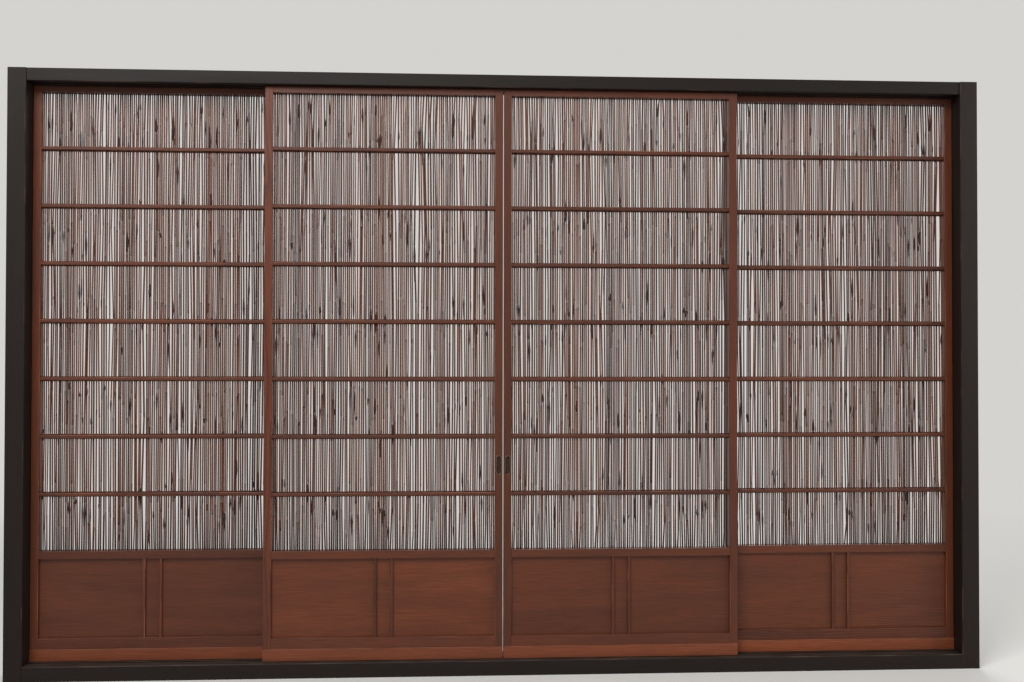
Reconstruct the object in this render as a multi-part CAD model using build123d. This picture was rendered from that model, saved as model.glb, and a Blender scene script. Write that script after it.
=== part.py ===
"""Four sliding reed-screen doors in their wooden frame, a summer shoji set of two tracks.

Millimetres, +Z up, +X to the right seen from the room, -Y towards the room.
The origin is on the floor, under the middle of the sill.
"""

import os

from build123d import *

# The frame: two posts, a sill below and a lintel above, all round one clear opening
opening_width = 2827.0
opening_height = 1727.0
post_width = 54.0
frame_depth = 106.0
sill_height = 45.0
lintel_height = 39.0
lintel_depth = 98.0
frame_chamfer = 2.0
frame_tenon_length = 25.0
frame_tenon_width = 50.0
frame_tenon_shoulder = 6.0
mortise_end_clearance = 1.0

# The two tracks, cut as grooves in the sill and in the lintel
track_spacing = 33.0
groove_width = 21.0
sill_groove_depth = 3.0
lintel_groove_depth = 15.0
groove_side_clearance = 0.5

# How a door stands in its track, and how the doors meet when closed
foot_clearance = 0.3
shoe_shoulder_clearance = 1.0
top_shoulder_clearance = 3.5
top_tongue_engagement = 11.0
meeting_gap = 3.0
post_gap = 1.0

# One door
door_thickness = 30.0
stile_width = 24.0
stile_chamfer = 1.0
shoe_height = 35.0
bottom_rail_height = 32.0
waist_opening_height = 237.0
waist_rail_height = 23.0
top_rail_height = 16.5

# Mortise and tenon joints of a door
tenon_length = 16.0
tenon_thickness = 10.0
tenon_shoulder = 4.0
stile_foot_length = 8.0
stile_foot_width = 12.0

# Waist board in its grooves, and the pair of battens on it
board_thickness = 7.0
board_recess = 10.0
board_edge = 5.0
board_groove_clearance = 1.0
batten_width = 8.0
batten_depth = 8.0
batten_spacing = 49.0
batten_chamfer = 1.5

# Reeds, with the lath that holds their ends in the grooves of the rails
reed_spacing = 6.45
reed_narrowest = 3.7
reed_widest = 5.7
reed_depth = 4.6
reed_gap_share_smallest = 0.12
lath_height = 8.0
lath_thickness = 5.6
lath_clearance = 0.2

# The series that makes reeds and gaps uneven: its own share, and where each door starts in it
golden_share = (5**0.5 - 1) / 2
series_start = 3
series_door_step = 7

# Thin bars on the room side and keeper strips on the far side of the reeds
bar_count = 7
bar_height = 10.0
bar_depth = 8.0
bar_recess = 3.0
bar_chamfer = 1.5
bar_housing = 4.0
housing_clearance = 0.1
keeper_height = 15.0
keeper_depth = 6.0
reed_seat_clearance = 0.3

# Oval finger pull sunk into the meeting stile of each inner door
pull_height = 58.0
pull_width = 16.0
pull_depth = 9.0
pull_wall = 1.2
pull_proud = 0.5
pull_cell_from_top = 6

# Places that follow from the sizes above
sill_top = sill_height
lintel_bottom = sill_top + opening_height
frame_top = lintel_bottom + lintel_height
half_opening = opening_width / 2
door_width = (opening_width + 2 * stile_width - meeting_gap - 2 * post_gap) / 4
clear_width = door_width - 2 * stile_width
half_thickness = door_thickness / 2
tongue_half = groove_width / 2 - groove_side_clearance

foot_z = sill_top - sill_groove_depth + foot_clearance
shoe_bottom = sill_top + shoe_shoulder_clearance
shoe_top = shoe_bottom + shoe_height
bottom_rail_top = shoe_top + bottom_rail_height
waist_rail_bottom = bottom_rail_top + waist_opening_height
waist_rail_top = waist_rail_bottom + waist_rail_height
top_shoulder = lintel_bottom - top_shoulder_clearance
top_rail_bottom = top_shoulder - top_rail_height
door_top = lintel_bottom + top_tongue_engagement

bar_back = -half_thickness + bar_recess + bar_depth
reed_y = bar_back + reed_seat_clearance + reed_depth / 2
keeper_front = reed_y + reed_depth / 2 + reed_seat_clearance
board_front = -half_thickness + board_recess
board_groove_depth = board_edge + board_groove_clearance
cell_height = (top_rail_bottom - waist_rail_top - bar_count * bar_height) / (bar_count + 1)
pull_z = top_rail_bottom - pull_cell_from_top * (cell_height + bar_height) - cell_height / 2


def along_x(profile, start, end):
    """Solid with a (y, z) outline, running from x = start to x = end."""
    outline = Polyline(*[(start, y, z) for y, z in profile], close=True)
    return extrude(make_face(outline), amount=end - start, dir=(1, 0, 0))


def along_z(profile, start, end):
    """Solid with an (x, y) outline, standing from z = start to z = end."""
    outline = Polyline(*[(x, y, start) for x, y in profile], close=True)
    return extrude(make_face(outline), amount=end - start, dir=(0, 0, 1))


def oblong(low_a, high_a, low_b, high_b):
    """Corners of a rectangle, given as two spans."""
    return [(low_a, low_b), (high_a, low_b), (high_a, high_b), (low_a, high_b)]


def eased_oblong(low_a, high_a, low_b, high_b, ease):
    """Corners of a rectangle whose four corners are chamfered."""
    return [
        (low_a + ease, low_b),
        (high_a - ease, low_b),
        (high_a, low_b + ease),
        (high_a, high_b - ease),
        (high_a - ease, high_b),
        (low_a + ease, high_b),
        (low_a, high_b - ease),
        (low_a, low_b + ease),
    ]


def mirrored_in_door(solid):
    """The same piece on the other side of a door's middle."""
    return mirror(solid, about=Plane.YZ.offset(door_width / 2))


# The frame

def sill_tenon_profile():
    half = frame_tenon_width / 2
    return oblong(-half, half, frame_tenon_shoulder, sill_top - sill_groove_depth - frame_tenon_shoulder)


def lintel_tenon_profile():
    half = frame_tenon_width / 2
    lowest = lintel_bottom + lintel_groove_depth + mortise_end_clearance
    return oblong(-half, half, lowest, frame_top - frame_tenon_shoulder)


def track_grooves(level, depth, upwards):
    """The two grooves of the tracks, from the face at this level into the wood."""
    far = level + depth if upwards else level - depth
    grooves = []
    for track_y in (-track_spacing / 2, track_spacing / 2):
        near_side = track_y - groove_width / 2
        far_side = track_y + groove_width / 2
        profile = oblong(near_side, far_side, min(level, far), max(level, far))
        grooves.append(along_x(profile, -half_opening, half_opening))
    return grooves


def make_sill():
    half = frame_depth / 2
    profile = [
        (-half, 0),
        (half, 0),
        (half, sill_top - frame_chamfer),
        (half - frame_chamfer, sill_top),
        (-half + frame_chamfer, sill_top),
        (-half, sill_top - frame_chamfer),
    ]
    reach = half_opening + frame_tenon_length
    body = along_x(profile, -half_opening, half_opening) + along_x(sill_tenon_profile(), -reach, reach)
    return body - track_grooves(sill_top, sill_groove_depth, upwards=False)


def make_lintel():
    half = lintel_depth / 2
    profile = [
        (-half + frame_chamfer, lintel_bottom),
        (half - frame_chamfer, lintel_bottom),
        (half, lintel_bottom + frame_chamfer),
        (half, frame_top),
        (-half, frame_top),
        (-half, lintel_bottom + frame_chamfer),
    ]
    reach = half_opening + frame_tenon_length
    body = along_x(profile, -half_opening, half_opening) + along_x(lintel_tenon_profile(), -reach, reach)
    return body - track_grooves(lintel_bottom, lintel_groove_depth, upwards=True)


def make_right_post():
    half = frame_depth / 2
    profile = [
        (half_opening, -half + frame_chamfer),
        (half_opening + frame_chamfer, -half),
        (half_opening + post_width, -half),
        (half_opening + post_width, half),
        (half_opening + frame_chamfer, half),
        (half_opening, half - frame_chamfer),
    ]
    post = along_z(profile, 0, frame_top)
    reach = half_opening + frame_tenon_length + mortise_end_clearance
    for tenon in (sill_tenon_profile(), lintel_tenon_profile()):
        post -= along_x(tenon, half_opening, reach)
    return post


# The rails of a door, between x = stile_width and x = door_width - stile_width

def tenon_profile(bottom, top):
    half = tenon_thickness / 2
    return oblong(-half, half, bottom, top)


top_tenon = tenon_profile(top_rail_bottom + tenon_shoulder, door_top - tenon_shoulder)
waist_tenon = tenon_profile(
    waist_rail_bottom + board_groove_depth + mortise_end_clearance, waist_rail_top - tenon_shoulder
)
bottom_tenon = tenon_profile(
    shoe_top + tenon_shoulder, bottom_rail_top - board_groove_depth - tenon_shoulder
)


def with_tenons(rail, profile):
    tenons = along_x(profile, stile_width - tenon_length, door_width - stile_width + tenon_length)
    return rail + tenons


def lath_groove(bottom, top):
    half = lath_thickness / 2 + lath_clearance / 2
    return along_x(oblong(reed_y - half, reed_y + half, bottom, top), stile_width, door_width - stile_width)


def board_groove(bottom, top):
    profile = oblong(board_front, board_front + board_thickness, bottom, top)
    return along_x(profile, stile_width, door_width - stile_width)


def make_top_rail():
    """Full thickness below the lintel, and a tongue above that runs in its groove."""
    profile = [
        (-half_thickness, top_rail_bottom),
        (half_thickness, top_rail_bottom),
        (half_thickness, top_shoulder),
        (tongue_half, top_shoulder),
        (tongue_half, door_top),
        (-tongue_half, door_top),
        (-tongue_half, top_shoulder),
        (-half_thickness, top_shoulder),
    ]
    rail = with_tenons(along_x(profile, stile_width, door_width - stile_width), top_tenon)
    return rail - lath_groove(top_rail_bottom, top_rail_bottom + lath_height + lath_clearance)


def make_waist_rail():
    profile = oblong(-half_thickness, half_thickness, waist_rail_bottom, waist_rail_top)
    rail = with_tenons(along_x(profile, stile_width, door_width - stile_width), waist_tenon)
    rail -= lath_groove(waist_rail_top - lath_height, waist_rail_top)
    return rail - board_groove(waist_rail_bottom, waist_rail_bottom + board_groove_depth)


def make_bottom_rail():
    profile = oblong(-half_thickness, half_thickness, shoe_top, bottom_rail_top)
    rail = with_tenons(along_x(profile, stile_width, door_width - stile_width), bottom_tenon)
    return rail - board_groove(bottom_rail_top - board_groove_depth, bottom_rail_top)


# The uprights and the shoe strip of a door

def stile_foot(bottom):
    low = (stile_width - stile_foot_width) / 2
    foot = oblong(low, low + stile_foot_width, -tenon_thickness / 2, tenon_thickness / 2)
    return along_z(foot, bottom, shoe_top)


def bar_bottoms():
    """Lower edge of each thin bar, from the top bar down."""
    step = cell_height + bar_height
    return [top_rail_bottom - step * number for number in range(1, bar_count + 1)]


def bar_profile(bottom, clearance=0.0):
    """A thin bar's outline, chamfered on its two room-side edges, or the housing round it."""
    front = bar_back - bar_depth - clearance
    back = bar_back + clearance
    low = bottom - clearance
    high = bottom + bar_height + clearance
    return [
        (front, low + bar_chamfer),
        (front + bar_chamfer, low),
        (back, low),
        (back, high),
        (front + bar_chamfer, high),
        (front, high - bar_chamfer),
    ]


def make_left_stile():
    profile = eased_oblong(0, stile_width, -half_thickness, half_thickness, stile_chamfer)
    stile = along_z(profile, shoe_top, door_top)
    for side in (-1, 1):
        span = sorted((side * tongue_half, side * half_thickness))
        stile -= along_z(oblong(0, stile_width, *span), top_shoulder, door_top)
    stile += stile_foot(shoe_top - stile_foot_length)
    for tenon in (top_tenon, waist_tenon, bottom_tenon):
        stile -= along_x(tenon, stile_width - tenon_length - mortise_end_clearance, stile_width)
    groove = oblong(
        board_front,
        board_front + board_thickness,
        bottom_rail_top - board_groove_depth,
        waist_rail_bottom + board_groove_depth,
    )
    stile -= along_x(groove, stile_width - board_groove_depth, stile_width)
    for bottom in bar_bottoms():
        stile -= along_x(bar_profile(bottom, housing_clearance), stile_width - bar_housing, stile_width)
    return stile


def make_shoe():
    """Wear strip under the whole door, with the foot that runs in the sill's groove."""
    profile = [
        (-tongue_half, foot_z),
        (tongue_half, foot_z),
        (tongue_half, shoe_bottom),
        (half_thickness, shoe_bottom),
        (half_thickness, shoe_top),
        (-half_thickness, shoe_top),
        (-half_thickness, shoe_bottom),
        (-tongue_half, shoe_bottom),
    ]
    mortise = stile_foot(shoe_top - stile_foot_length - mortise_end_clearance)
    return along_x(profile, 0, door_width) - mortise - mirrored_in_door(mortise)


# What fills a door

def make_waist_board():
    profile = oblong(
        board_front,
        board_front + board_thickness,
        bottom_rail_top - board_edge,
        waist_rail_bottom + board_edge,
    )
    return along_x(profile, stile_width - board_edge, door_width - stile_width + board_edge)


def make_battens():
    """The pair of upright battens in the middle of the waist board."""
    battens = []
    front = board_front - batten_depth
    for side in (-1, 1):
        middle = door_width / 2 + side * batten_spacing / 2
        low = middle - batten_width / 2
        high = middle + batten_width / 2
        profile = [
            (low, board_front),
            (low, front + batten_chamfer),
            (low + batten_chamfer, front),
            (high - batten_chamfer, front),
            (high, front + batten_chamfer),
            (high, board_front),
        ]
        battens.append(along_z(profile, bottom_rail_top, waist_rail_bottom))
    return battens


def scatter(number, door):
    """An even spread over 0 to 1 that looks unplanned and never changes."""
    return golden_share * number * (number + series_door_step * door + series_start) % 1.0


def reeds_across(door):
    """Left edge and width of each reed of one door, between its stiles."""
    count = round(clear_width / reed_spacing)
    spread = reed_widest - reed_narrowest
    widths = [reed_narrowest + spread * scatter(number, door) for number in range(1, count + 1)]
    shares = [reed_gap_share_smallest + scatter(number + count, door) ** 2 for number in range(count + 1)]
    spare = clear_width - sum(widths)
    reeds = []
    edge = stile_width
    for width, share in zip(widths, shares):
        edge += spare * share / sum(shares)
        reeds.append((edge, width))
        edge += width
    return reeds


def make_reed_mat(door):
    """All reeds of a door, ridged front and back, on the laths that hold their ends."""
    half = lath_thickness / 2
    bottom = waist_rail_top - lath_height
    top = top_rail_bottom + lath_height
    mat = []
    for low, high in ((bottom, waist_rail_top), (top_rail_bottom, top)):
        profile = oblong(reed_y - half, reed_y + half, low, high)
        mat.append(along_x(profile, stile_width, door_width - stile_width))
    for edge, width in reeds_across(door):
        middle = edge + width / 2
        ridges = [
            (edge, reed_y),
            (middle, reed_y - reed_depth / 2),
            (edge + width, reed_y),
            (middle, reed_y + reed_depth / 2),
        ]
        mat.append(along_z(ridges, bottom + lath_height / 2, top - lath_height / 2))
    return mat[0] + mat[1:]


def make_bars():
    """Thin bars on the room side, housed in the stiles at both ends."""
    reach = stile_width - bar_housing
    return [along_x(bar_profile(bottom), reach, door_width - reach) for bottom in bar_bottoms()]


def make_keepers():
    """Strips on the far side that hold the reeds against the bars."""
    keepers = []
    for bottom in bar_bottoms():
        middle = bottom + bar_height / 2
        profile = oblong(
            keeper_front,
            keeper_front + keeper_depth,
            middle - keeper_height / 2,
            middle + keeper_height / 2,
        )
        keepers.append(along_x(profile, stile_width, door_width - stile_width))
    return keepers


# The finger pull

def pull_form(shrink, front, back):
    """An upright oblong with round ends, in the middle of the left stile's face."""
    outline = Rot(0, 0, 90) * SlotOverall(pull_height - 2 * shrink, pull_width - 2 * shrink)
    place = Plane(origin=(stile_width / 2, front, pull_z), x_dir=(1, 0, 0), z_dir=(0, -1, 0))
    return extrude(place * outline, amount=front - back)


def make_pull():
    face = -half_thickness
    cup = pull_form(0, face - pull_proud, face + pull_depth)
    return cup - pull_form(pull_wall, face - pull_proud, face + pull_depth - pull_wall)


def pull_pocket():
    return pull_form(0, -half_thickness, -half_thickness + pull_depth)


# The doors: name, left edge, track, and the side of the finger pull if there is one

doors = [
    ("outer_left", -half_opening + post_gap, 1, None),
    ("inner_left", -meeting_gap / 2 - door_width, -1, "right"),
    ("inner_right", meeting_gap / 2, -1, "left"),
    ("outer_right", half_opening - post_gap - door_width, 1, None),
]

right_post = make_right_post()
nodes = {
    "sill": make_sill(),
    "lintel": make_lintel(),
    "left_post": mirror(right_post, about=Plane.YZ),
    "right_post": right_post,
}

plain_stile = make_left_stile()
shared = {
    "top_rail": make_top_rail(),
    "waist_rail": make_waist_rail(),
    "bottom_rail": make_bottom_rail(),
    "shoe": make_shoe(),
    "waist_board": make_waist_board(),
    "battens": make_battens(),
    "bars": make_bars(),
    "keepers": make_keepers(),
}

for number, (door, left_edge, track, pull_side) in enumerate(doors):
    pieces = dict(shared)
    pieces["left_stile"] = plain_stile
    pieces["right_stile"] = mirrored_in_door(plain_stile)
    pieces["reed_mat"] = make_reed_mat(number)
    if pull_side == "left":
        pieces["left_stile"] = plain_stile - pull_pocket()
        pieces["finger_pull"] = make_pull()
    if pull_side == "right":
        pieces["right_stile"] = mirrored_in_door(plain_stile - pull_pocket())
        pieces["finger_pull"] = mirrored_in_door(make_pull())
    place = Pos(left_edge, track * track_spacing / 2, 0)
    for piece, shape in pieces.items():
        if isinstance(shape, list):
            nodes[f"{door}_{piece}"] = Compound(children=[place * solid for solid in shape])
        else:
            nodes[f"{door}_{piece}"] = place * shape

os.makedirs("parts", exist_ok=True)
for node, shape in nodes.items():
    export_step(shape, f"parts/{node}.step")
print(len(nodes), "pieces, door width", door_width, "reeds in a door", len(reeds_across(0)))
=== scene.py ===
import math
import random

import bmesh
import bpy
from mathutils import Matrix, Vector


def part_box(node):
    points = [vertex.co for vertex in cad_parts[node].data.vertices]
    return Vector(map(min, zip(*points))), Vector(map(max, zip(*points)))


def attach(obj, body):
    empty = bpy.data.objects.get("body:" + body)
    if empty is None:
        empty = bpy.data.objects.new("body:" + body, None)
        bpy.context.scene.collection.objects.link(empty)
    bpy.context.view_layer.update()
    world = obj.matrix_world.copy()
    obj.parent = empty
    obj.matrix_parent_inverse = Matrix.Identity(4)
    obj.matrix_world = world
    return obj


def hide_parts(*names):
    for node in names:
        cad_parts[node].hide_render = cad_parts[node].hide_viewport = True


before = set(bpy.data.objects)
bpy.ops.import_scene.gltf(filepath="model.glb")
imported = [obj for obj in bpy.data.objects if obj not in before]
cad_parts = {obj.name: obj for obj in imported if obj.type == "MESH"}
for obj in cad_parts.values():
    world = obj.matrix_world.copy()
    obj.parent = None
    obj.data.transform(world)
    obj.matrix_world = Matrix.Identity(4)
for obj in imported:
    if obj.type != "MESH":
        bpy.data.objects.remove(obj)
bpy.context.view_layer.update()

# The sill, the lintel and the two posts: cedar stained almost black and waxed.
# Each is planed, its arrises are eased with the plane, and the sill and lintel are tenoned into
# the posts. The doors' feet have rubbed the floors of the sill's grooves.
frame_runs = {"sill": "X", "lintel": "X", "left_post": "Z", "right_post": "Z"}
frame_ease = 0.0010
frame_tones = {
    "dark": (0.0045, 0.0030, 0.0025, 1),
    "light": (0.0150, 0.0085, 0.0060, 1),
    "worn": (0.0550, 0.0290, 0.0180, 1),
}
groove_rub = 0.8
weld_distance = 0.00001
flat_angle = math.radians(1)
sharp_angle = math.radians(30)
arris_shortest = 0.05
arris_facets = 2
square_on = 0.98


def new_object(name, shape, material):
    """Turns a finished shape into an object of one material."""
    mesh = bpy.data.meshes.new(name)
    shape.to_mesh(mesh)
    shape.free()
    mesh.materials.append(material)
    made = bpy.data.objects.new(name, mesh)
    bpy.context.scene.collection.objects.link(made)
    return made


def new_piece(name, shape, material, body, nodes=()):
    """Turns a finished shape into a piece that rides on one body and stands for some nodes."""
    piece = new_object(name, shape, material)
    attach(piece, body)
    if nodes:
        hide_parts(*nodes)


def sticks_of(shape):
    """The separate sticks of one shape, each as a list of its faces. Their order is fixed."""
    waiting = set(shape.faces)
    sticks = []
    for first in shape.faces:
        if first not in waiting:
            continue
        waiting.remove(first)
        stick = []
        edge_of_search = [first]
        while edge_of_search:
            face = edge_of_search.pop()
            stick.append(face)
            for edge in face.edges:
                for neighbour in edge.link_faces:
                    if neighbour in waiting:
                        waiting.remove(neighbour)
                        edge_of_search.append(neighbour)
        sticks.append(stick)
    return sticks


def rounded(shape, edges, radius, facets):
    """Rounds some edges of a shape and gives back the new faces."""
    return bmesh.ops.bevel(
        shape,
        geom=edges,
        offset=radius,
        offset_type="OFFSET",
        segments=facets,
        profile=0.5,
        affect="EDGES",
        clamp_overlap=True,
        material=-1,
    )["faces"]


def eased(node, ease):
    """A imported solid's form with its long arrises rounded and marked, and its sticks numbered."""
    shape = bmesh.new()
    shape.from_mesh(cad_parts[node].data)
    bmesh.ops.remove_doubles(shape, verts=shape.verts, dist=weld_distance)
    bmesh.ops.dissolve_limit(shape, angle_limit=flat_angle, verts=shape.verts, edges=shape.edges)
    sharp = [
        edge
        for edge in shape.edges
        if edge.is_convex
        and edge.calc_face_angle() > sharp_angle
        and edge.calc_length() > arris_shortest
    ]
    rounded(shape, sharp, ease, arris_facets)
    shape.normal_update()
    arris = shape.faces.layers.float.new("arris")
    stick_number = shape.faces.layers.float.new("stick")
    chance = random.Random(node)
    for stick in sticks_of(shape):
        number = chance.random()
        for face in stick:
            face[stick_number] = number
            face[arris] = 1.0 if max(map(abs, face.normal)) < square_on else 0.0
    return shape


def feed(tree, shader, feeds):
    """Feeds the sockets of one shader node by numbers, colours or other outputs."""
    for socket, value in dict(feeds).items():
        if isinstance(value, bpy.types.NodeSocket):
            tree.links.new(value, shader.inputs[socket])
        else:
            shader.inputs[socket].default_value = value


def add(tree, kind, feeds=(), **settings):
    """One more shader node, with its own settings and its sockets fed."""
    made = tree.nodes.new(kind)
    for setting, value in settings.items():
        setattr(made, setting, value)
    feed(tree, made, feeds)
    return made


def calc(tree, operation, first, second=0.0):
    return add(tree, "ShaderNodeMath", {0: first, 1: second}, operation=operation).outputs[0]


def vector_calc(tree, operation, first, second=(0.0, 0.0, 0.0)):
    feeds = {0: first, 1: second}
    return add(tree, "ShaderNodeVectorMath", feeds, operation=operation).outputs


def blended(tree, share, first, second, way="MIX"):
    feeds = {"Fac": share, "Color1": first, "Color2": second}
    return add(tree, "ShaderNodeMixRGB", feeds, blend_type=way).outputs[0]


def spread_over(tree, value, low, high, new_low=0.0, new_high=1.0):
    """The value's place between low and high, as a value between new_low and new_high."""
    source = {"Value": value, "From Min": low, "From Max": high}
    target = {"To Min": new_low, "To Max": new_high}
    return add(tree, "ShaderNodeMapRange", source | target).outputs[0]


def bumped(tree, height, strength, depth):
    feeds = {"Height": height, "Strength": strength, "Distance": depth}
    return add(tree, "ShaderNodeBump", feeds).outputs[0]


def attribute(tree, name):
    return add(tree, "ShaderNodeAttribute", attribute_name=name).outputs["Fac"]


def place_in(tree):
    """Where a point of the surface lies, in metres from the object's origin."""
    return add(tree, "ShaderNodeTexCoord").outputs["Object"]


def new_material(name):
    """A new material, its shader tree, and the shader of its surface."""
    material = bpy.data.materials.new(name)
    material.use_nodes = True
    return material, material.node_tree, material.node_tree.nodes["Principled BSDF"]


def new_group(name, amounts, outputs):
    """An empty shader group. It takes a place and some amounts, and puts out some values."""
    tree = bpy.data.node_groups.new(name, "ShaderNodeTree")
    tree.interface.new_socket(name="Vector", in_out="INPUT", socket_type="NodeSocketVector")
    for amount in amounts:
        tree.interface.new_socket(name=amount, in_out="INPUT", socket_type="NodeSocketFloat")
    for output in outputs:
        tree.interface.new_socket(name=output, in_out="OUTPUT", socket_type="NodeSocketFloat")
    given = tree.nodes.new("NodeGroupInput").outputs
    result = tree.nodes.new("NodeGroupOutput").inputs
    return tree, given, result


def use_group(tree, group, feeds):
    return add(tree, "ShaderNodeGroup", feeds, node_tree=group).outputs


# Figure of sawn wood: growth rings round a heart that lies beside the stick, fibres, and slow
# changes of tone. A noise is given by its features per metre across the stick, those along it,
# and its detail.
noise_roughness = 0.55
slow_bends = (7.0, 1.3, 2.0)
quick_bends = (60.0, 7.0, 2.0)
quick_share = 0.06
wood_fibres = (900.0, 16.0, 3.0)
wood_tones = (22.0, 2.4, 3.0)
trunk_length = 37.0
across_only = (1.0, 1.0, 0.0)
late_wood_power = 2.2
ring_edge = 0.12


def stretched_noise(tree, vector, across, along, detail):
    """Noise drawn out along the stick."""
    scaled = vector_calc(tree, "MULTIPLY", vector, (across, across, along))["Vector"]
    feeds = {"Vector": scaled, "Scale": 1.0, "Detail": detail, "Roughness": noise_roughness}
    return add(tree, "ShaderNodeTexNoise", feeds).outputs["Fac"]


figure, given, result = new_group(
    "sawn_figure",
    ["Ring Width", "Heart Depth", "Heart Spread", "Wander"],
    ["Rings", "Fibre", "Tone"],
)
own_number = attribute(figure, "stick")
off_middle = calc(figure, "SUBTRACT", own_number, 0.5)
aside = calc(figure, "MULTIPLY", off_middle, given["Heart Spread"])
further = calc(figure, "MULTIPLY", own_number, trunk_length)
shift_feeds = {"X": aside, "Y": given["Heart Depth"], "Z": further}
shift = add(figure, "ShaderNodeCombineXYZ", shift_feeds).outputs[0]
in_trunk = vector_calc(figure, "ADD", given["Vector"], shift)["Vector"]
slow = calc(figure, "SUBTRACT", stretched_noise(figure, in_trunk, *slow_bends), 0.5)
quick = calc(figure, "SUBTRACT", stretched_noise(figure, in_trunk, *quick_bends), 0.5)
bend = calc(figure, "ADD", slow, calc(figure, "MULTIPLY", quick, quick_share))
crosswise = vector_calc(figure, "MULTIPLY", in_trunk, across_only)["Vector"]
radius = vector_calc(figure, "LENGTH", crosswise)["Value"]
reach = calc(figure, "ADD", radius, calc(figure, "MULTIPLY", bend, given["Wander"]))
ring = calc(figure, "FRACT", calc(figure, "DIVIDE", reach, given["Ring Width"]))
late_wood = calc(figure, "POWER", ring, late_wood_power)
soft_start = spread_over(figure, ring, 0.0, ring_edge, 1.0, 0.0)
soft_start = calc(figure, "MULTIPLY", soft_start, soft_start)
figure.links.new(calc(figure, "MAXIMUM", late_wood, soft_start), result["Rings"])
figure.links.new(stretched_noise(figure, in_trunk, *wood_fibres), result["Fibre"])
figure.links.new(stretched_noise(figure, in_trunk, *wood_tones), result["Tone"])

# Arrises rubbed pale by hands, feet and cloths, in drawn-out patches so that no edge is worn
# all along. The more rubbing there is, the lower the noise may be that still shows as a patch.
rub_noise = (60.0, 8.0, 4.0)
rub_threshold = 0.72
rub_lowering = 0.4
rub_crispness = 9.0
rubbed, given, result = new_group("rubbed_arrises", ["Amount"], ["Mask"])
lowering = calc(rubbed, "MULTIPLY", given["Amount"], rub_lowering)
threshold = calc(rubbed, "SUBTRACT", rub_threshold, lowering)
over = calc(rubbed, "SUBTRACT", stretched_noise(rubbed, given["Vector"], *rub_noise), threshold)
patches = calc(rubbed, "MULTIPLY", over, rub_crispness)
patches = add(rubbed, "ShaderNodeClamp", {"Value": patches}).outputs[0]
rubbed.links.new(calc(rubbed, "MULTIPLY", patches, attribute(rubbed, "arris")), result["Mask"])

# Fine dust that settles on whatever faces up, thicker in some places than in others. It greys
# the colour under it and takes the gloss away.
dust_colour = (0.26, 0.22, 0.19, 1)
dust_amount = 0.12
dust_slopes = (0.35, 0.95)
drift_noise = (110.0, 9.0, 4.0)
drift_range = (0.35, 0.7)
dusty, given, result = new_group("settled_dust", ["Amount"], ["Mask"])
normal = add(dusty, "ShaderNodeNewGeometry").outputs["Normal"]
facing = add(dusty, "ShaderNodeSeparateXYZ", {0: normal}).outputs
upward = spread_over(dusty, facing["Z"], *dust_slopes)
drifts = spread_over(dusty, stretched_noise(dusty, given["Vector"], *drift_noise), *drift_range)
cover = calc(dusty, "MULTIPLY", upward, drifts)
dusty.links.new(calc(dusty, "MULTIPLY", cover, given["Amount"]), result["Mask"])

# Planed and oiled wood. Its rings come first, then patches of tone, fibres, a shade for each
# stick, rubbed arrises and dust. Its gloss follows the tone, and pores and rings give relief.
tone_range = (0.3, 0.7)
tone_strength = 0.45
fibre_range = (0.3, 0.7)
fibre_shades = (0.68, 1.2)
stick_shades = (0.78, 1.15)
rub_strength = 0.7
gloss_range = (0.25, 0.75)
gloss_less = 0.06
gloss_more = 0.1
dust_roughness = 0.4
pore_share = 0.6
ring_share = 0.5
grain_relief = 0.35
grain_depth = 0.0004


def wood(
    name,
    run,
    tones,
    ring_width,
    gloss,
    heart_depth=0.35,
    heart_spread=2.0,
    wander=0.02,
    marked=0.8,
    shine=0.35,
    wear=0.5,
):
    """Wood with its grain along X or Z. The heart lies some way behind the stick and aside."""
    material, tree, surface = new_material(name)
    turn = (0, math.radians(90), 0) if run == "X" else (0, 0, 0)
    turned = {"Vector": place_in(tree), "Rotation": turn}
    laid = add(tree, "ShaderNodeMapping", turned).outputs[0]
    figure_feeds = {
        "Vector": laid,
        "Ring Width": ring_width,
        "Heart Depth": heart_depth,
        "Heart Spread": heart_spread,
        "Wander": wander,
    }
    grain = use_group(tree, figure, figure_feeds)
    marks = calc(tree, "MULTIPLY", grain["Rings"], marked)
    colour = blended(tree, marks, tones["light"], tones["dark"])
    tone = spread_over(tree, grain["Tone"], *tone_range)
    colour = blended(tree, calc(tree, "MULTIPLY", tone, tone_strength), colour, tones["dark"])
    shade = spread_over(tree, grain["Fibre"], *fibre_range, *fibre_shades)
    colour = blended(tree, 1.0, colour, shade, "MULTIPLY")
    stick_shade = spread_over(tree, attribute(tree, "stick"), 0.0, 1.0, *stick_shades)
    colour = blended(tree, 1.0, colour, stick_shade, "MULTIPLY")
    rub = use_group(tree, rubbed, {"Vector": laid, "Amount": wear})["Mask"]
    colour = blended(tree, calc(tree, "MULTIPLY", rub, rub_strength), colour, tones["worn"])
    film = use_group(tree, dusty, {"Vector": laid, "Amount": dust_amount})["Mask"]
    colour = blended(tree, film, colour, dust_colour)
    glosses = (gloss - gloss_less, gloss + gloss_more)
    rough = spread_over(tree, grain["Tone"], *gloss_range, *glosses)
    rough = calc(tree, "ADD", rough, calc(tree, "MULTIPLY", film, dust_roughness))
    pores = calc(tree, "MULTIPLY", grain["Fibre"], pore_share)
    height = calc(tree, "ADD", pores, calc(tree, "MULTIPLY", grain["Rings"], ring_share))
    surface_feeds = {
        "Base Color": colour,
        "Roughness": rough,
        "Normal": bumped(tree, height, grain_relief, grain_depth),
        "Specular IOR Level": shine,
    }
    feed(tree, surface, surface_feeds)
    return material


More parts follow.
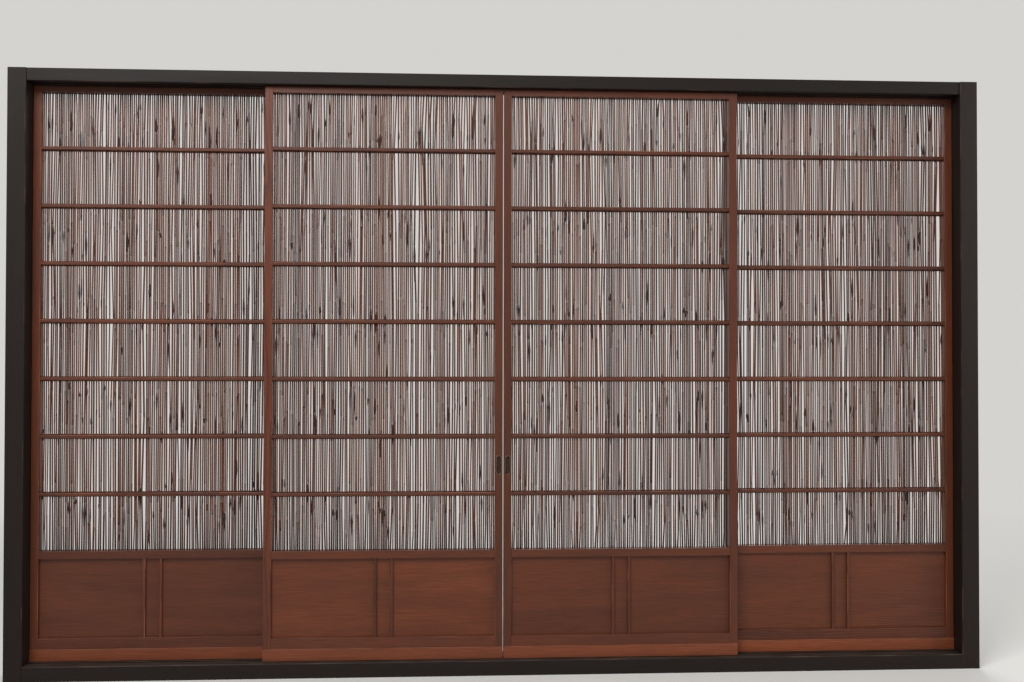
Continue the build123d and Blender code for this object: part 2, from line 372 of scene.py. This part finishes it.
frame_wood = {
    run: wood(f"frame_wood_{run}", run, frame_tones, ring_width=0.0035, gloss=0.50, shine=0.20)
    for run in "XZ"
}
for node, run in frame_runs.items():
    shape = eased(node, frame_ease)
    if node == "sill":
        arris = shape.faces.layers.float["arris"]
        below_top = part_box(node)[1].z - frame_ease
        for face in shape.faces:
            if face.normal.z > square_on and face.calc_center_median().z < below_top:
                face[arris] = groove_rub
    new_piece(f"{node}_wood", shape, frame_wood[run], "frame", [node])

# The uprights and rails of the four doors: straight-grained cedar under a red-brown stain that
# has darkened. The rails are tenoned into the uprights, and the top of each door is rebated to
# run in the lintel's groove.
doors = ["outer_left", "inner_left", "inner_right", "outer_right"]
door_runs = {
    "left_stile": "Z",
    "right_stile": "Z",
    "top_rail": "X",
    "waist_rail": "X",
    "bottom_rail": "X",
}
door_ease = 0.0005
door_tones = {
    "dark": (0.036, 0.0085, 0.0035, 1),
    "light": (0.130, 0.0310, 0.0100, 1),
    "worn": (0.240, 0.0850, 0.0340, 1),
}
door_wood = {
    run: wood(f"door_wood_{run}", run, door_tones, ring_width=0.0022, gloss=0.40) for run in "XZ"
}
for door in doors:
    for part, run in door_runs.items():
        node = f"{door}_{part}"
        shape = eased(node, door_ease)
        new_piece(f"{node}_wood", shape, door_wood[run], f"{door}_door", [node])

# The shoe under each door: a strip of harder, paler wood that takes the wear and can be
# replaced. It is pinned on from below, and its foot is rubbed smooth by the groove.
shoe_tones = {
    "dark": (0.115, 0.026, 0.0095, 1),
    "light": (0.280, 0.070, 0.0235, 1),
    "worn": (0.400, 0.165, 0.0750, 1),
}
shoe_wood = wood("shoe_wood", "X", shoe_tones, ring_width=0.0030, gloss=0.42, wear=0.8)
for door in doors:
    node = f"{door}_shoe"
    shape = eased(node, door_ease)
    new_piece(f"{node}_wood", shape, shoe_wood, f"{door}_door", [node])

# The waist board: one thin board sawn on the quarter, so its grain is fine, straight and level.
# It lies loose in grooves all round.
board_ease = 0.0003
board_tones = {
    "dark": (0.045, 0.0105, 0.0040, 1),
    "light": (0.150, 0.0360, 0.0110, 1),
    "worn": door_tones["worn"],
}
board_wood = wood(
    "board_wood",
    "X",
    board_tones,
    ring_width=0.0038,
    gloss=0.38,
    heart_depth=0.09,
    wander=0.04,
    marked=0.6,
)
for door in doors:
    node = f"{door}_waist_board"
    shape = eased(node, board_ease)
    new_piece(f"{node}_wood", shape, board_wood, f"{door}_door", [node])

# Two battens stand on the middle of each board and keep it flat. Thin bars cross the reeds on
# the room side, and keeper strips on the far side press the reeds against them. All are small
# sticks of the doors' cedar.
stick_ease = 0.0003
stick_runs = {"battens": "Z", "bars": "X", "keepers": "X"}
for door in doors:
    for part, run in stick_runs.items():
        node = f"{door}_{part}"
        shape = eased(node, stick_ease)
        new_piece(f"{node}_wood", shape, door_wood[run], f"{door}_door", [node])

# Small low-domed nails hold each keeper strip, driven in from the far side. Iron, gone brown.
# Seven in a strip, one near each end and the others evenly between.
keeper_height = 0.015
keepers_in_a_door = 7
nails_in_a_keeper = 7
nail_end_distance = 0.030
nail_sides = 8
nail_radius = 0.0014
nail_top_radius = 0.0007
nail_rise = 0.0007
iron_dark = (0.045, 0.034, 0.028, 1)
iron_rust = (0.150, 0.062, 0.030, 1)
rust_spots = (900.0, 3.0)
rust_range = (0.3, 0.7)
iron_roughness = (0.45, 0.75)
iron_metallic = 0.6


def even_noise(tree, vector, scale, detail):
    """Noise that is alike in all directions, given by its features per metre and its detail."""
    feeds = {"Vector": vector, "Scale": scale, "Detail": detail}
    return add(tree, "ShaderNodeTexNoise", feeds).outputs["Fac"]


iron, tree, surface = new_material("nail_iron")
rust = even_noise(tree, place_in(tree), *rust_spots)
iron_feeds = {
    "Base Color": blended(tree, rust, iron_dark, iron_rust),
    "Roughness": spread_over(tree, rust, *rust_range, *iron_roughness),
    "Metallic": iron_metallic,
}
feed(tree, surface, iron_feeds)
towards_far_side = Matrix.Rotation(math.radians(-90), 3, "X")
for door in doors:
    low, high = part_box(f"{door}_keepers")
    strip_step = (high.z - low.z - keeper_height) / (keepers_in_a_door - 1)
    nail_step = (high.x - low.x - 2 * nail_end_distance) / (nails_in_a_keeper - 1)
    nails = bmesh.new()
    for strip in range(keepers_in_a_door):
        for number in range(nails_in_a_keeper):
            nail = bmesh.ops.create_cone(
                nails,
                cap_ends=True,
                segments=nail_sides,
                radius1=nail_radius,
                radius2=nail_top_radius,
                depth=nail_rise,
            )["verts"]
            bmesh.ops.rotate(nails, verts=nail, matrix=towards_far_side)
            x = low.x + nail_end_distance + number * nail_step
            z = low.z + keeper_height / 2 + strip * strip_step
            bmesh.ops.translate(nails, verts=nail, vec=(x, high.y + nail_rise / 2, z))
    new_piece(f"{door}_keeper_nails", nails, iron, f"{door}_door")

# The reeds: dried stems gone red-brown, each of its own thickness and bent at its nodes, so the
# gaps between them open and close on the way up. Two laths hold their ends inside the rails.
# Dark scraps of leaf sheath still clasp some of the nodes.
reed_spacing = 0.00645
reed_narrowest = 0.0037
reed_widest = 0.0057
gap_share_smallest = 0.12
golden_share = (5**0.5 - 1) / 2
series_start = 3
series_door_step = 7
reed_sides = 5
reed_nodes = 5
reed_rings = 2 * reed_nodes + 2
reed_taper = 0.10
stem_depths = (0.0020, 0.0022)
collar_height = 0.003
node_swelling = 1.12
node_wander = 0.3
nudge_rounds = 2
reed_clearance = 0.0001
stile_clearance = 0.0003
lath_height = 0.008


def scatter(number, door_number):
    """A number from 0 to 1 that looks drawn by chance, and is the same in the solids."""
    return golden_share * number * (number + series_door_step * door_number + series_start) % 1.0


def reeds_across(start, end, door_number):
    """Middle and width of each reed of a door, as its ends stand in the laths."""
    count = round((end - start) / reed_spacing)
    spread = reed_widest - reed_narrowest
    widths = [
        reed_narrowest + spread * scatter(number, door_number) for number in range(1, count + 1)
    ]
    shares = [
        gap_share_smallest + scatter(number + count, door_number) ** 2
        for number in range(count + 1)
    ]
    spare = end - start - sum(widths)
    gaps = [spare * share / sum(shares) for share in shares]
    reeds = []
    edge = start
    for number, width in enumerate(widths):
        edge += gaps[number]
        reeds.append((edge + width / 2, width))
        edge += width
    return reeds


def nudged(reeds, start, end, chance):
    """Middles of the same reeds at another height. Each has moved within the gaps beside it."""
    middles = [middle for middle, width in reeds]
    halves = [width / 2 for middle, width in reeds]
    last = len(reeds) - 1
    order = list(range(len(reeds)))
    for _ in range(nudge_rounds):
        chance.shuffle(order)
        for number in order:
            left = middles[number - 1] + halves[number - 1] if number > 0 else start
            right = middles[number + 1] - halves[number + 1] if number < last else end
            reach = halves[number] + reed_clearance
            middles[number] = chance.uniform(left + reach, right - reach)
    return middles


def turned_over(rings, foot, head):
    """The same stem with its head down. A ring is its middle, half width, half depth and span."""
    return [
        ((middle[0], middle[1], foot + head - middle[2]), half_width, half_depth, span)
        for middle, half_width, half_depth, span in reversed(rings)
    ]


# A scrap of sheath: a thin dark husk that clasps the stem at a node, leans to one side and ends
# in a point. Its outline gives, from the bottom up, how far up and aside each ring lies, and its
# width in shares of the stem and of the clasp.
scrap_share = 0.27
scrap_lengths = (0.022, 0.120)
scrap_room = 0.8
scrap_lean = 0.3
scrap_thicknesses = (0.0003, 0.0015)
scrap_depths = (0.0023, 0.0025)
scrap_outline = (
    (0.0, 0.0, 0.9, 0.0),
    (0.3, 0.8, 0.0, 1.0),
    (0.6, 1.0, 0.0, 0.75),
    (1.0, 0.3, 0.2, 0.0),
)


def scrap_on(node, half, low, high, head, chance):
    """Rings of a scrap on a node of a stem. It keeps inside the mat's box."""
    tall = min(chance.uniform(*scrap_lengths), scrap_room * (head - node[2]))
    side = chance.choice((-scrap_lean, scrap_lean)) * half
    spare = min(node[0] - low.x, high.x - node[0]) - half - abs(side)
    clasp = half + min(chance.uniform(*scrap_thicknesses), spare)
    deepest = chance.uniform(*scrap_depths)
    rings = []
    for up, shift, stem_share, clasp_share in scrap_outline:
        middle = (node[0] + shift * side, node[1], node[2] + up * tall)
        wide = stem_share * half + clasp_share * clasp
        rings.append((middle, wide, min(wide, deepest), 0.0))
    return rings


def grown_reed(x, width, wander, low, high, chance):
    """Rings of one reed and of its scraps. wander is where its middle stands at each node."""
    taper = chance.uniform(-reed_taper, reed_taper)
    head_down = chance.random() < 0.5
    if head_down:
        wander = wander[::-1]
    deepest = chance.uniform(*stem_depths)
    end_depth = min(width / 2, deepest)
    middle_y = (low.y + high.y) / 2
    foot = low.z + lath_height / 2
    length = high.z - lath_height / 2 - foot
    head = foot + length
    rings = [((x, middle_y, foot), width / 2, end_depth, 0.0)]
    scraps = []
    for position, node_x in enumerate(wander):
        share = (position + 0.5 + chance.uniform(-node_wander, node_wander)) / reed_nodes
        half = width / 2 * (1 - abs(taper) / 2 + taper * (share - 0.5))
        node = (node_x, middle_y, foot + share * length)
        above = (node_x, middle_y, node[2] + collar_height)
        rings.append((node, half * node_swelling, min(half, deepest) * node_swelling, 1.0))
        rings.append((above, half, min(half, deepest), 0.0))
        if chance.random() < scrap_share:
            scraps.append(scrap_on(node, half, low, high, head, chance))
    rings.append(((x, middle_y, head), width / 2, end_depth, 1.0))
    if head_down:
        rings = turned_over(rings, foot, head)
        scraps = [turned_over(scrap, foot, head) for scrap in scraps]
    return rings, scraps


# Each stem and scrap is a copy of a straight pattern, bent onto its rings. Its points carry the
# reed's own number, how far up they are between two nodes, and whether they are husk.
reed_marks = ("stick", "span", "husk")


def ringed_pattern(name, sides, rings):
    """A closed straight stem, one unit in radius, cut into rings one unit apart."""
    stem = bmesh.new()
    for mark in reed_marks:
        stem.verts.layers.float.new(mark)
    bmesh.ops.create_cone(
        stem, cap_ends=True, segments=sides, radius1=1, radius2=1, depth=rings - 1
    )
    bmesh.ops.translate(stem, verts=stem.verts, vec=(0, 0, (rings - 1) / 2))
    for level in range(1, rings - 1):
        parts = stem.verts[:] + stem.edges[:] + stem.faces[:]
        bmesh.ops.bisect_plane(stem, geom=parts, plane_co=(0, 0, level), plane_no=(0, 0, 1))
    mesh = bpy.data.meshes.new(name)
    stem.to_mesh(mesh)
    stem.free()
    return mesh


def add_bent(shape, pattern, layers, rings, number, husk):
    """Adds a copy of the pattern to the shape and moves its points onto the rings."""
    known = len(shape.verts)
    shape.from_mesh(pattern)
    shape.verts.ensure_lookup_table()
    for point in shape.verts[known:]:
        middle, half_width, half_depth, span = rings[round(point.co.z)]
        point[layers["stick"]] = number
        point[layers["span"]] = span
        point[layers["husk"]] = husk
        x = middle[0] + half_width * point.co.x
        y = middle[1] + half_depth * point.co.y
        point.co = (x, y, middle[2])


# Dried reed: brown or nearly black from stem to stem, bleached in streaks, dark just under each
# node and pale just above it, with fine fibres along it. Husk is duller and almost black.
reed_dark = (0.022, 0.0075, 0.0050, 1)
reed_brown = (0.120, 0.0350, 0.0150, 1)
reed_pale = (0.210, 0.0850, 0.0380, 1)
husk_dark = (0.008, 0.0035, 0.0030, 1)
husk_light = (0.040, 0.0130, 0.0080, 1)
bleach_noise = (160.0, 5.0, 2.0)
bleach_range = (0.42, 0.72)
bleach_strength = 0.4
reed_fibres = (2600.0, 30.0, 2.0)
reed_fibre_shades = (0.7, 1.2)
under_node_range = (0.955, 0.995)
under_node_strength = 0.8
above_node_range = (0.05, 0.0)
above_node_strength = 0.35
husk_range = (0.35, 0.65)
reed_roughness = (0.48, 0.6)
husk_roughness = 0.2
reed_relief = 0.4
reed_relief_depth = 0.0002
reed_shine = 0.35

reed, tree, surface = new_material("reed")
spot = place_in(tree)
husk = attribute(tree, "husk")
span = attribute(tree, "span")
colour = blended(tree, attribute(tree, "stick"), reed_dark, reed_brown)
bleached = spread_over(tree, stretched_noise(tree, spot, *bleach_noise), *bleach_range)
bleached = calc(tree, "MULTIPLY", bleached, bleach_strength)
colour = blended(tree, bleached, colour, reed_pale)
fibre = stretched_noise(tree, spot, *reed_fibres)
fibre_shade = spread_over(tree, fibre, *fibre_range, *reed_fibre_shades)
colour = blended(tree, 1.0, colour, fibre_shade, "MULTIPLY")
under_node = spread_over(tree, span, *under_node_range)
under_node = calc(tree, "MULTIPLY", under_node, under_node_strength)
colour = blended(tree, under_node, colour, husk_dark)
above_node = spread_over(tree, span, *above_node_range)
above_node = calc(tree, "MULTIPLY", above_node, above_node_strength)
colour = blended(tree, above_node, colour, reed_pale)
husk_colour = blended(tree, spread_over(tree, fibre, *husk_range), husk_dark, husk_light)
colour = blended(tree, husk, colour, husk_colour)
film = use_group(tree, dusty, {"Vector": spot, "Amount": dust_amount})["Mask"]
colour = blended(tree, film, colour, dust_colour)
rough = spread_over(tree, fibre, *fibre_range, *reed_roughness)
rough = calc(tree, "ADD", rough, calc(tree, "MULTIPLY", husk, husk_roughness))
reed_feeds = {
    "Base Color": colour,
    "Roughness": rough,
    "Normal": bumped(tree, fibre, reed_relief, reed_relief_depth),
    "Specular IOR Level": reed_shine,
}
feed(tree, surface, reed_feeds)

stem_pattern = ringed_pattern("stem_pattern", reed_sides, reed_rings)
scrap_pattern = ringed_pattern("scrap_pattern", reed_sides, len(scrap_outline))
for door_number, door in enumerate(doors):
    low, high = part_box(f"{door}_reed_mat")
    chance = random.Random(door)
    reeds = reeds_across(low.x, high.x, door_number)
    levels = [
        nudged(reeds, low.x + stile_clearance, high.x - stile_clearance, chance)
        for _ in range(reed_nodes)
    ]
    mat = bmesh.new()
    layers = {mark: mat.verts.layers.float.new(mark) for mark in reed_marks}
    for (x, width), wander in zip(reeds, zip(*levels)):
        number = chance.random()
        rings, scraps = grown_reed(x, width, wander, low, high, chance)
        add_bent(mat, stem_pattern, layers, rings, number, husk=0.0)
        for scrap in scraps:
            add_bent(mat, scrap_pattern, layers, scrap, number, husk=1.0)
    for face in mat.faces:
        face.smooth = len(face.verts) == 4
    middle_x = (low.x + high.x) / 2
    middle_y = (low.y + high.y) / 2
    for lath_z in (low.z + lath_height / 2, high.z - lath_height / 2):
        lath = bmesh.ops.create_cube(mat, size=1)["verts"]
        bmesh.ops.scale(mat, verts=lath, vec=(high.x - low.x, high.y - low.y, lath_height))
        bmesh.ops.translate(mat, verts=lath, vec=(middle_x, middle_y, lath_z))
    new_piece(f"{door}_reeds", mat, reed, f"{door}_door", [f"{door}_reed_mat"])

# The finger pull of each inner door: a long oval cup of dark patinated metal, pressed into the
# meeting stile. It is drawn from sheet, so its lip and the edge of its floor are round, and
# fingers keep the lip bright.
pull_doors = ["inner_left", "inner_right"]
pull_segments = 48
pull_lip_width = 0.0012
pull_floor_rise = 0.0012
pull_draft = 0.93
lip_roundness = 0.00045
lip_facets = 3
floor_roundness = 0.0020
floor_facets = 4
metal_dark = (0.030, 0.025, 0.021, 1)
metal_brown = (0.085, 0.052, 0.034, 1)
metal_bright = (0.320, 0.210, 0.130, 1)
bloom_spots = (210.0, 5.0)
bloom_range = (0.35, 0.7)
bloom_gloss_range = (0.3, 0.7)
pull_roughness = (0.34, 0.52)
pull_wear = 0.9
bright_strength = 0.8
pits = (1500.0, 2.0)
pit_relief = 0.25
pit_depth = 0.0001
pull_metallic = 0.85

pull_metal, tree, surface = new_material("pull_metal")
spot = place_in(tree)
bloom = even_noise(tree, spot, *bloom_spots)
colour = blended(tree, spread_over(tree, bloom, *bloom_range), metal_dark, metal_brown)
rub = use_group(tree, rubbed, {"Vector": spot, "Amount": pull_wear})["Mask"]
colour = blended(tree, calc(tree, "MULTIPLY", rub, bright_strength), colour, metal_bright)
metal_feeds = {
    "Base Color": colour,
    "Roughness": spread_over(tree, bloom, *bloom_gloss_range, *pull_roughness),
    "Normal": bumped(tree, even_noise(tree, spot, *pits), pit_relief, pit_depth),
    "Metallic": pull_metallic,
}
feed(tree, surface, metal_feeds)
stood_up = Matrix.Rotation(math.radians(90), 3, "X")
half_step = Matrix.Rotation(math.pi / pull_segments, 3, "Z")
for door in pull_doors:
    node = f"{door}_finger_pull"
    low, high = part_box(node)
    back_middle = ((low.x + high.x) / 2, high.y, (low.z + high.z) / 2)
    half_width = (high.x - low.x) / 2
    straight = (high.z - low.z) / 2 - half_width
    cup = bmesh.new()
    arris = cup.faces.layers.float.new("arris")
    outline = bmesh.ops.create_circle(
        cup, cap_ends=True, segments=pull_segments, radius=half_width
    )["verts"]
    bmesh.ops.rotate(cup, verts=outline, matrix=half_step)
    for point in outline:
        point.co.y += math.copysign(straight, point.co.y)
    bmesh.ops.rotate(cup, verts=outline, matrix=stood_up)
    bmesh.ops.translate(cup, verts=outline, vec=back_middle)
    front = bmesh.ops.extrude_face_region(cup, geom=cup.faces[:])["geom"]
    front_points = [part for part in front if isinstance(part, bmesh.types.BMVert)]
    front_face = next(part for part in front if isinstance(part, bmesh.types.BMFace))
    bmesh.ops.translate(cup, verts=front_points, vec=(0, low.y - high.y, 0))
    outer_rim = list(front_face.edges)
    bmesh.ops.inset_region(cup, faces=[front_face], thickness=pull_lip_width)
    inner_rim = list(front_face.edges)
    cup_floor = bmesh.ops.extrude_discrete_faces(cup, faces=[front_face])["faces"][0]
    depth = high.y - low.y - pull_floor_rise
    bmesh.ops.translate(cup, verts=cup_floor.verts, vec=(0, depth, 0))
    bmesh.ops.scale(
        cup,
        verts=cup_floor.verts,
        vec=(pull_draft, 1, pull_draft),
        space=Matrix.Translation(-cup_floor.calc_center_median()),
    )
    rounded(cup, list(cup_floor.edges), floor_roundness, floor_facets)
    rims = [edge for edge in outer_rim + inner_rim if edge.is_valid]
    lip_faces = rounded(cup, rims, lip_roundness, lip_facets)
    bmesh.ops.recalc_face_normals(cup, faces=cup.faces)
    for face in cup.faces:
        face.smooth = len(face.verts) == 4
    for face in lip_faces:
        face[arris] = 1.0
    new_piece(f"{door}_pull", cup, pull_metal, f"{door}_door", [node])

# The floor and the air behind it, pale and even. The floor takes shadows near the doors
# and fades into the background further off, so that no horizon shows through the reeds.
pale = (0.66, 0.65, 0.63, 1)
floor_size = 60.0
floor_roughness = 0.7
fade_range = (1.6, 4.5)
air_strength = 0.40


def background_rays(tree):
    """One for the rays that show the plain background: straight, in gloss, or through glass."""
    paths = add(tree, "ShaderNodeLightPath").outputs
    straight_or_gloss = calc(tree, "MAXIMUM", paths["Is Camera Ray"], paths["Is Glossy Ray"])
    return calc(tree, "MAXIMUM", straight_or_gloss, paths["Is Transmission Ray"])


floor_paint, tree, surface = new_material("floor_paint")
feed(tree, surface, {"Base Color": pale, "Roughness": floor_roughness})
distance = vector_calc(tree, "LENGTH", place_in(tree))["Value"]
away = spread_over(tree, distance, *fade_range)
seen = calc(tree, "MULTIPLY", away, background_rays(tree))
glow = add(tree, "ShaderNodeEmission", {"Color": pale}).outputs[0]
mixed = add(tree, "ShaderNodeMixShader", {0: seen, 1: surface.outputs[0], 2: glow}).outputs[0]
tree.links.new(mixed, tree.nodes["Material Output"].inputs["Surface"])
floor_shape = bmesh.new()
bmesh.ops.create_grid(floor_shape, x_segments=1, y_segments=1, size=floor_size / 2)
new_object("floor", floor_shape, floor_paint)

world = bpy.data.worlds.new("air")
bpy.context.scene.world = world
world.use_nodes = True
tree = world.node_tree
strength = spread_over(tree, background_rays(tree), 0.0, 1.0, air_strength, 1.0)
feed(tree, tree.nodes["Background"], {"Color": pale, "Strength": strength})

# Soft studio light: a large panel high in front on the left, a weaker one beside the doors on
# the right, and one behind. Each is given by its place, its size and its power.
panels = {
    "key": ((-1.9, -3.4, 4.4), 2.4, 240.0),
    "fill": ((4.6, -1.7, 2.2), 2.0, 110.0),
    "back": ((1.5, 3.6, 3.0), 2.4, 80.0),
}
aim = Vector((0, 0, 0.9))
for name, (panel_place, panel_size, panel_power) in panels.items():
    light = bpy.data.lights.new(name, "AREA")
    light.size = panel_size
    light.energy = panel_power
    panel = bpy.data.objects.new(name, light)
    panel.location = panel_place
    panel.rotation_euler = (aim - panel.location).to_track_quat("-Z", "Y").to_euler()
    bpy.context.scene.collection.objects.link(panel)

# The camera stands where the photograph was taken: three metres off, a little left of the
# middle, at a low eye level.
camera_data = bpy.data.cameras.new("camera")
camera_data.sensor_width = 36.0
camera_data.lens = 37.58
camera = bpy.data.objects.new("camera", camera_data)
camera.location = (-0.1504, -3.272, 0.959)
camera.rotation_euler = (math.radians(90.81), -0.0014, math.radians(-3.12))
bpy.context.scene.collection.objects.link(camera)
bpy.context.scene.camera = camera
bpy.context.scene.view_settings.view_transform = "Standard"
